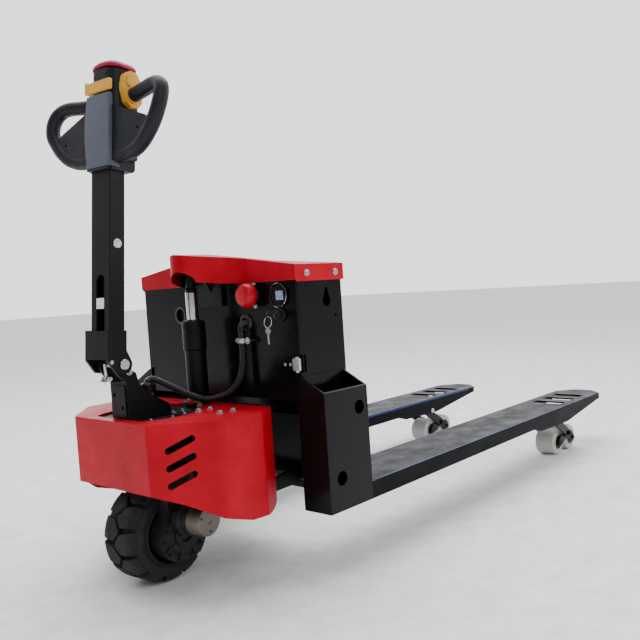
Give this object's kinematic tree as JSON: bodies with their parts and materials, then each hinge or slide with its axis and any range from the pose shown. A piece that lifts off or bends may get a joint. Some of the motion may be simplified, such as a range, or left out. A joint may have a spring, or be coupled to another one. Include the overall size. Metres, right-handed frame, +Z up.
{
  "type": "electric pallet truck",
  "caption": "Walk-behind electric pallet truck: black forks and body, red cover and wheel guard, steered drive wheel, tiller with loop grips, linked load rollers.",
  "frame": {"origin": "middle of the footprint on the floor", "axes": "+Z up, +X towards the fork tips, +Y to the left when facing the fork tips"},
  "size_m": [1.7066, 0.664, 1.0675],
  "materials": {
    "black_paint": "high gloss black paint",
    "red_paint": "gloss red powder coat",
    "black_plastic": "fine grained black moulding",
    "dark_casting": "dark oiled casting",
    "grey_plastic": "satin slate grey moulding",
    "yellow_plastic": "satin ochre yellow moulding",
    "red_plastic": "satin red moulding",
    "chrome": "hard chrome",
    "steel": "machined and zinc plated steel",
    "tyre_rubber": "worn grey-black rubber",
    "white_nylon": "satin off-white nylon",
    "battery_case": "satin battery case",
    "conduit": "corrugated matt black conduit"
  },
  "bodies": {
    "chassis": {"fork_left": "black_paint", "fork_right": "black_paint", "side_pocket_left": "black_paint", "side_pocket_right": "black_paint", "front_panel": "black_paint", "side_panel_left": "black_paint", "side_panel_right": "black_paint", "back_panel": "black_paint", "heel_plate": "black_paint", "battery_tray": "black_paint", "battery_left": "battery_case", "battery_right": "battery_case", "pump_unit": "black_plastic", "motor_controller": "steel", "top_cover": "red_paint", "rod_bracket": "black_paint", "lift_rod": "chrome", "emergency_stop_collar": "black_plastic", "battery_gauge": "black_plastic", "key_switch": "black_plastic", "cable_gland": "black_plastic", "latch_plate": "steel", "cable_conduit": "conduit"},
    "drive_base": {"base_plate": "black_paint", "wheel_guard": "red_paint", "lift_cylinder": "black_paint", "slewing_ring": "steel"},
    "drive_unit": {"turntable": "black_paint", "drive_yoke": "black_paint", "gear_housing": "dark_casting", "traction_motor": "steel", "tiller_bracket": "black_paint"},
    "drive_wheel": {"drive_tyre": "tyre_rubber", "drive_rim": "steel"},
    "tiller": {"tiller_tube": "black_paint", "tiller_yoke": "black_paint", "tiller_pin": "steel", "gas_spring": "steel", "handle_loop_left": "black_plastic", "handle_loop_right": "black_plastic", "head_body": "black_plastic", "head_front_cover": "grey_plastic"},
    "throttle": {"throttle_knob_left": "yellow_plastic", "throttle_knob_right": "yellow_plastic"},
    "reverse_button": {"belly_button": "red_plastic"},
    "horn_button": {"horn_bar": "yellow_plastic"},
    "stop_button": {"emergency_stop_button": "red_plastic"},
    "ignition_key": {"key": "steel"},
    "latch": {"latch_lever": "steel"},
    "linkage_shaft": {"torsion_shaft": "black_paint"},
    "rod_left": {"push_rod_left": "steel"},
    "arm_left": {"load_arm_left": "black_paint"},
    "bogie_left": {"wheel_bogie_left": "black_paint"},
    "roller_left_rear": {"load_wheel_left_rear": "white_nylon"},
    "roller_left_front": {"load_wheel_left_front": "white_nylon"},
    "rod_right": {"push_rod_right": "steel"},
    "arm_right": {"load_arm_right": "black_paint"},
    "bogie_right": {"wheel_bogie_right": "black_paint"},
    "roller_right_rear": {"load_wheel_right_rear": "white_nylon"},
    "roller_right_front": {"load_wheel_right_front": "white_nylon"}
  },
  "joints": [
    {"name": "lift", "type": "slide", "parent": "chassis", "child": "drive_base", "axis": [0, 0, 1], "range_m": [-0.033, 0.078], "deforming": ["cable_conduit"]},
    {"name": "steering", "type": "hinge", "parent": "drive_base", "child": "drive_unit", "pos_m": [-0.73667, 0, 0.3], "axis": [0, 0, 1], "range_deg": [-94.6, 85.4]},
    {"name": "drive_wheel_spin", "type": "hinge", "parent": "drive_unit", "child": "drive_wheel", "pos_m": [-0.73667, 0, 0.105], "axis": [-0.0802, 0.9968, 0], "continuous": true},
    {"name": "tiller_tilt", "type": "hinge", "parent": "drive_unit", "child": "tiller", "pos_m": [-0.81442, -0.00626, 0.461], "axis": [-0.0802, 0.9968, 0], "range_deg": [-78, 0], "stiffness_Nm_per_rad": 30, "springref_deg": 51.57},
    {"name": "throttle_turn", "type": "hinge", "parent": "tiller", "child": "throttle", "pos_m": [-0.76165, -0.00201, 0.98837], "axis": [-0.0802, 0.9968, 0], "range_deg": [-25, 25], "stiffness_Nm_per_rad": 0.6},
    {"name": "reverse_button_press", "type": "slide", "parent": "tiller", "child": "reverse_button", "axis": [-0.0921, -0.0074, -0.9957], "range_m": [0, 0.004], "stiffness_N_per_m": 900, "springref_m": -0.003},
    {"name": "horn_press", "type": "slide", "parent": "tiller", "child": "horn_button", "axis": [0.9925, 0.0799, -0.0924], "range_m": [0, 0.002], "stiffness_N_per_m": 1200, "springref_m": -0.002},
    {"name": "emergency_stop_press", "type": "slide", "parent": "chassis", "child": "stop_button", "axis": [1, 0, 0], "range_m": [0, 0.0035]},
    {"name": "key_turn", "type": "hinge", "parent": "chassis", "child": "ignition_key", "pos_m": [-0.55097, -0.219, 0.537], "axis": [1, 0, 0], "range_deg": [0, 90]},
    {"name": "latch_swing", "type": "hinge", "parent": "chassis", "child": "latch", "pos_m": [-0.55897, -0.266, 0.434], "axis": [0, 0, 1], "range_deg": [0, 100]},
    {"name": "linkage_turn", "type": "hinge", "parent": "chassis", "child": "linkage_shaft", "pos_m": [-0.45267, 0, 0.171], "axis": [0, 1, 0], "range_deg": [-18, 42]},
    {"name": "push_rod_left_turn", "type": "hinge", "parent": "linkage_shaft", "child": "rod_left", "pos_m": [-0.44772, 0.225, 0.14752], "axis": [0, 1, 0], "range_deg": [-42, 18]},
    {"name": "load_arm_left_turn", "type": "hinge", "parent": "chassis", "child": "arm_left", "pos_m": [0.51833, 0.252, 0.124], "axis": [0, 1, 0], "range_deg": [-42, 18]},
    {"name": "bogie_left_turn", "type": "hinge", "parent": "arm_left", "child": "bogie_left", "pos_m": [0.61533, 0.252, 0.062], "axis": [0, 1, 0], "range_deg": [-18, 42]},
    {"name": "roller_left_rear_spin", "type": "hinge", "parent": "bogie_left", "child": "roller_left_rear", "pos_m": [0.57133, 0.252, 0.04], "axis": [0, 1, 0], "continuous": true},
    {"name": "roller_left_front_spin", "type": "hinge", "parent": "bogie_left", "child": "roller_left_front", "pos_m": [0.65933, 0.252, 0.04], "axis": [0, 1, 0], "continuous": true},
    {"name": "push_rod_right_turn", "type": "hinge", "parent": "linkage_shaft", "child": "rod_right", "pos_m": [-0.44772, -0.225, 0.14752], "axis": [0, 1, 0], "range_deg": [-42, 18]},
    {"name": "load_arm_right_turn", "type": "hinge", "parent": "chassis", "child": "arm_right", "pos_m": [0.51833, -0.252, 0.124], "axis": [0, 1, 0], "range_deg": [-42, 18]},
    {"name": "bogie_right_turn", "type": "hinge", "parent": "arm_right", "child": "bogie_right", "pos_m": [0.61533, -0.252, 0.062], "axis": [0, 1, 0], "range_deg": [-18, 42]},
    {"name": "roller_right_rear_spin", "type": "hinge", "parent": "bogie_right", "child": "roller_right_rear", "pos_m": [0.57133, -0.252, 0.04], "axis": [0, 1, 0], "continuous": true},
    {"name": "roller_right_front_spin", "type": "hinge", "parent": "bogie_right", "child": "roller_right_front", "pos_m": [0.65933, -0.252, 0.04], "axis": [0, 1, 0], "continuous": true}
  ],
  "couplings": [
    {"joint": "linkage_turn", "follows": "lift", "rad_per_m": 9.2502},
    {"joint": "push_rod_left_turn", "follows": "lift", "rad_per_m": -9.2502},
    {"joint": "load_arm_left_turn", "follows": "lift", "rad_per_m": -9.2502},
    {"joint": "bogie_left_turn", "follows": "lift", "rad_per_m": 9.2502},
    {"joint": "push_rod_right_turn", "follows": "lift", "rad_per_m": -9.2502},
    {"joint": "load_arm_right_turn", "follows": "lift", "rad_per_m": -9.2502},
    {"joint": "bogie_right_turn", "follows": "lift", "rad_per_m": 9.2502}
  ]
}
